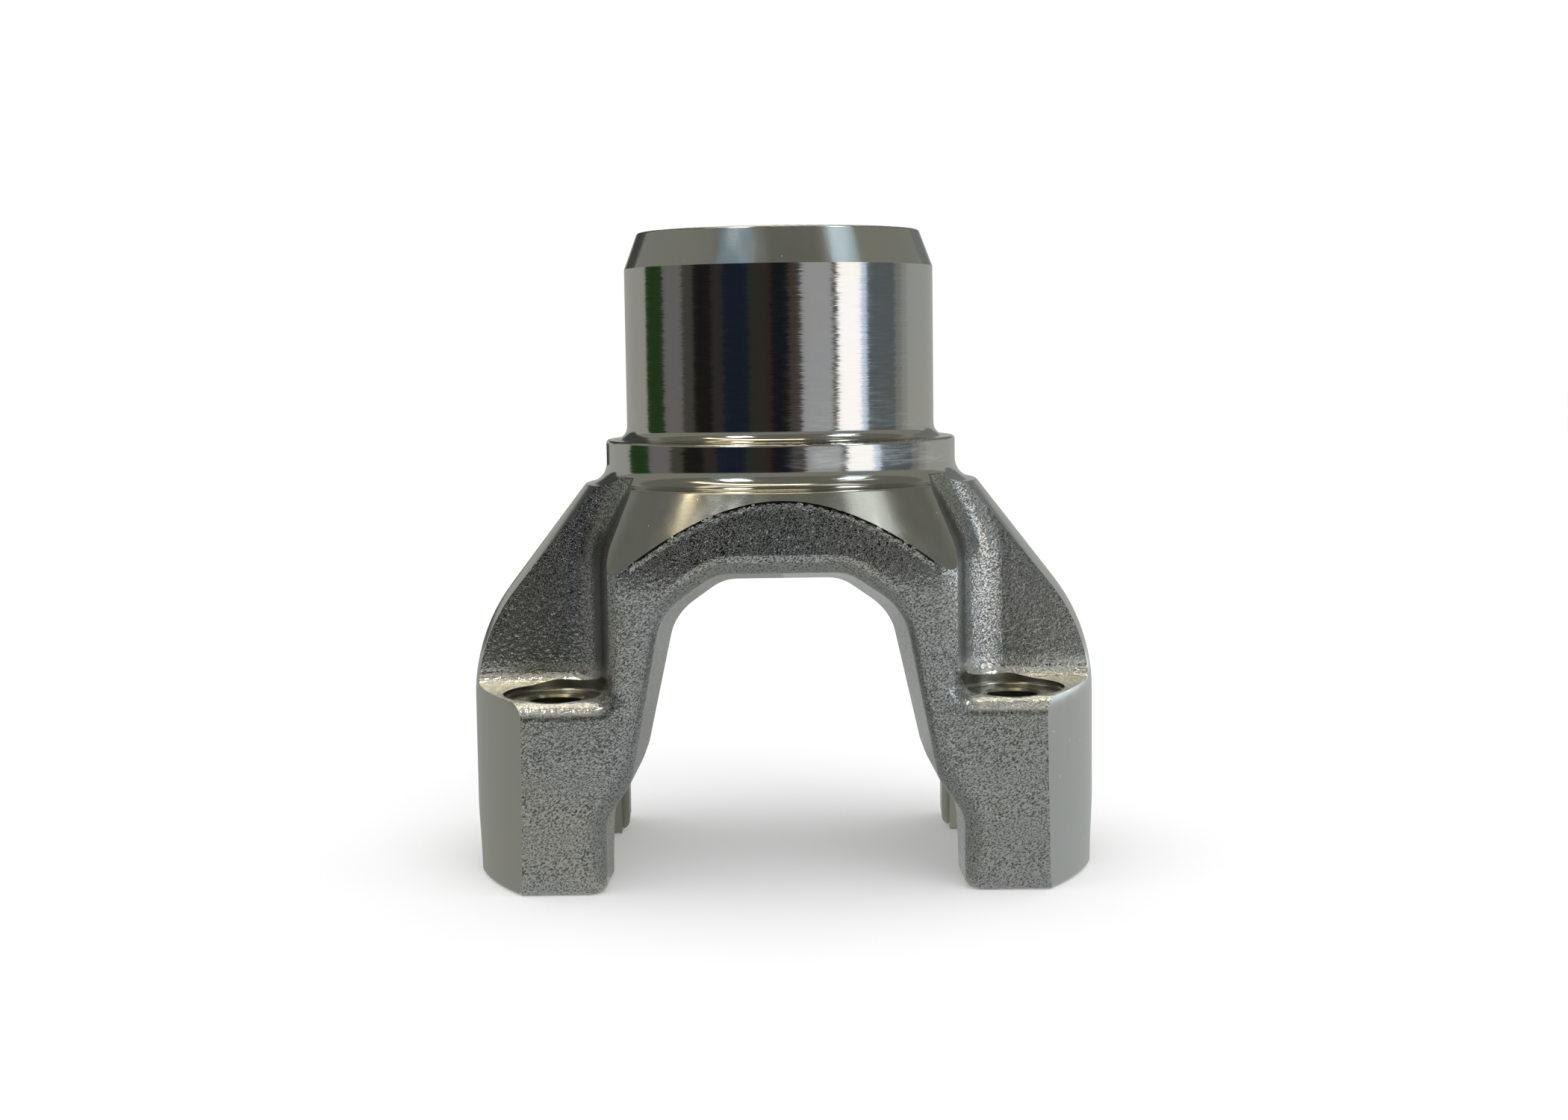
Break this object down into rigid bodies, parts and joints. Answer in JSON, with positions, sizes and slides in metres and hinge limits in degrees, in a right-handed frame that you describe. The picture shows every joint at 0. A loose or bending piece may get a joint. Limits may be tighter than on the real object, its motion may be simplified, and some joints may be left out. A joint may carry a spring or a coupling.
{
  "type": "forged yoke",
  "caption": "Forged steel weld yoke of a drive shaft: turned tube spigot and collar above an arch with two ears, half-round bearing seats and bolt lobes.",
  "frame": {"origin": "centre of the joint: on the shaft axis, at the height of the lobe ends and of the axis of the bearing seats", "axes": "+Z along the shaft axis, from the joint to the tube spigot; X along the axis of the bearing seats; Y from front to back, through the arch"},
  "size_m": [0.1656, 0.1078, 0.1674],
  "materials": {
    "plated_steel": "bright zinc plating over blasted forged skin and fine turned steel"
  },
  "bodies": {
    "root": {"yoke": "plated_steel"}
  },
  "joints": []
}
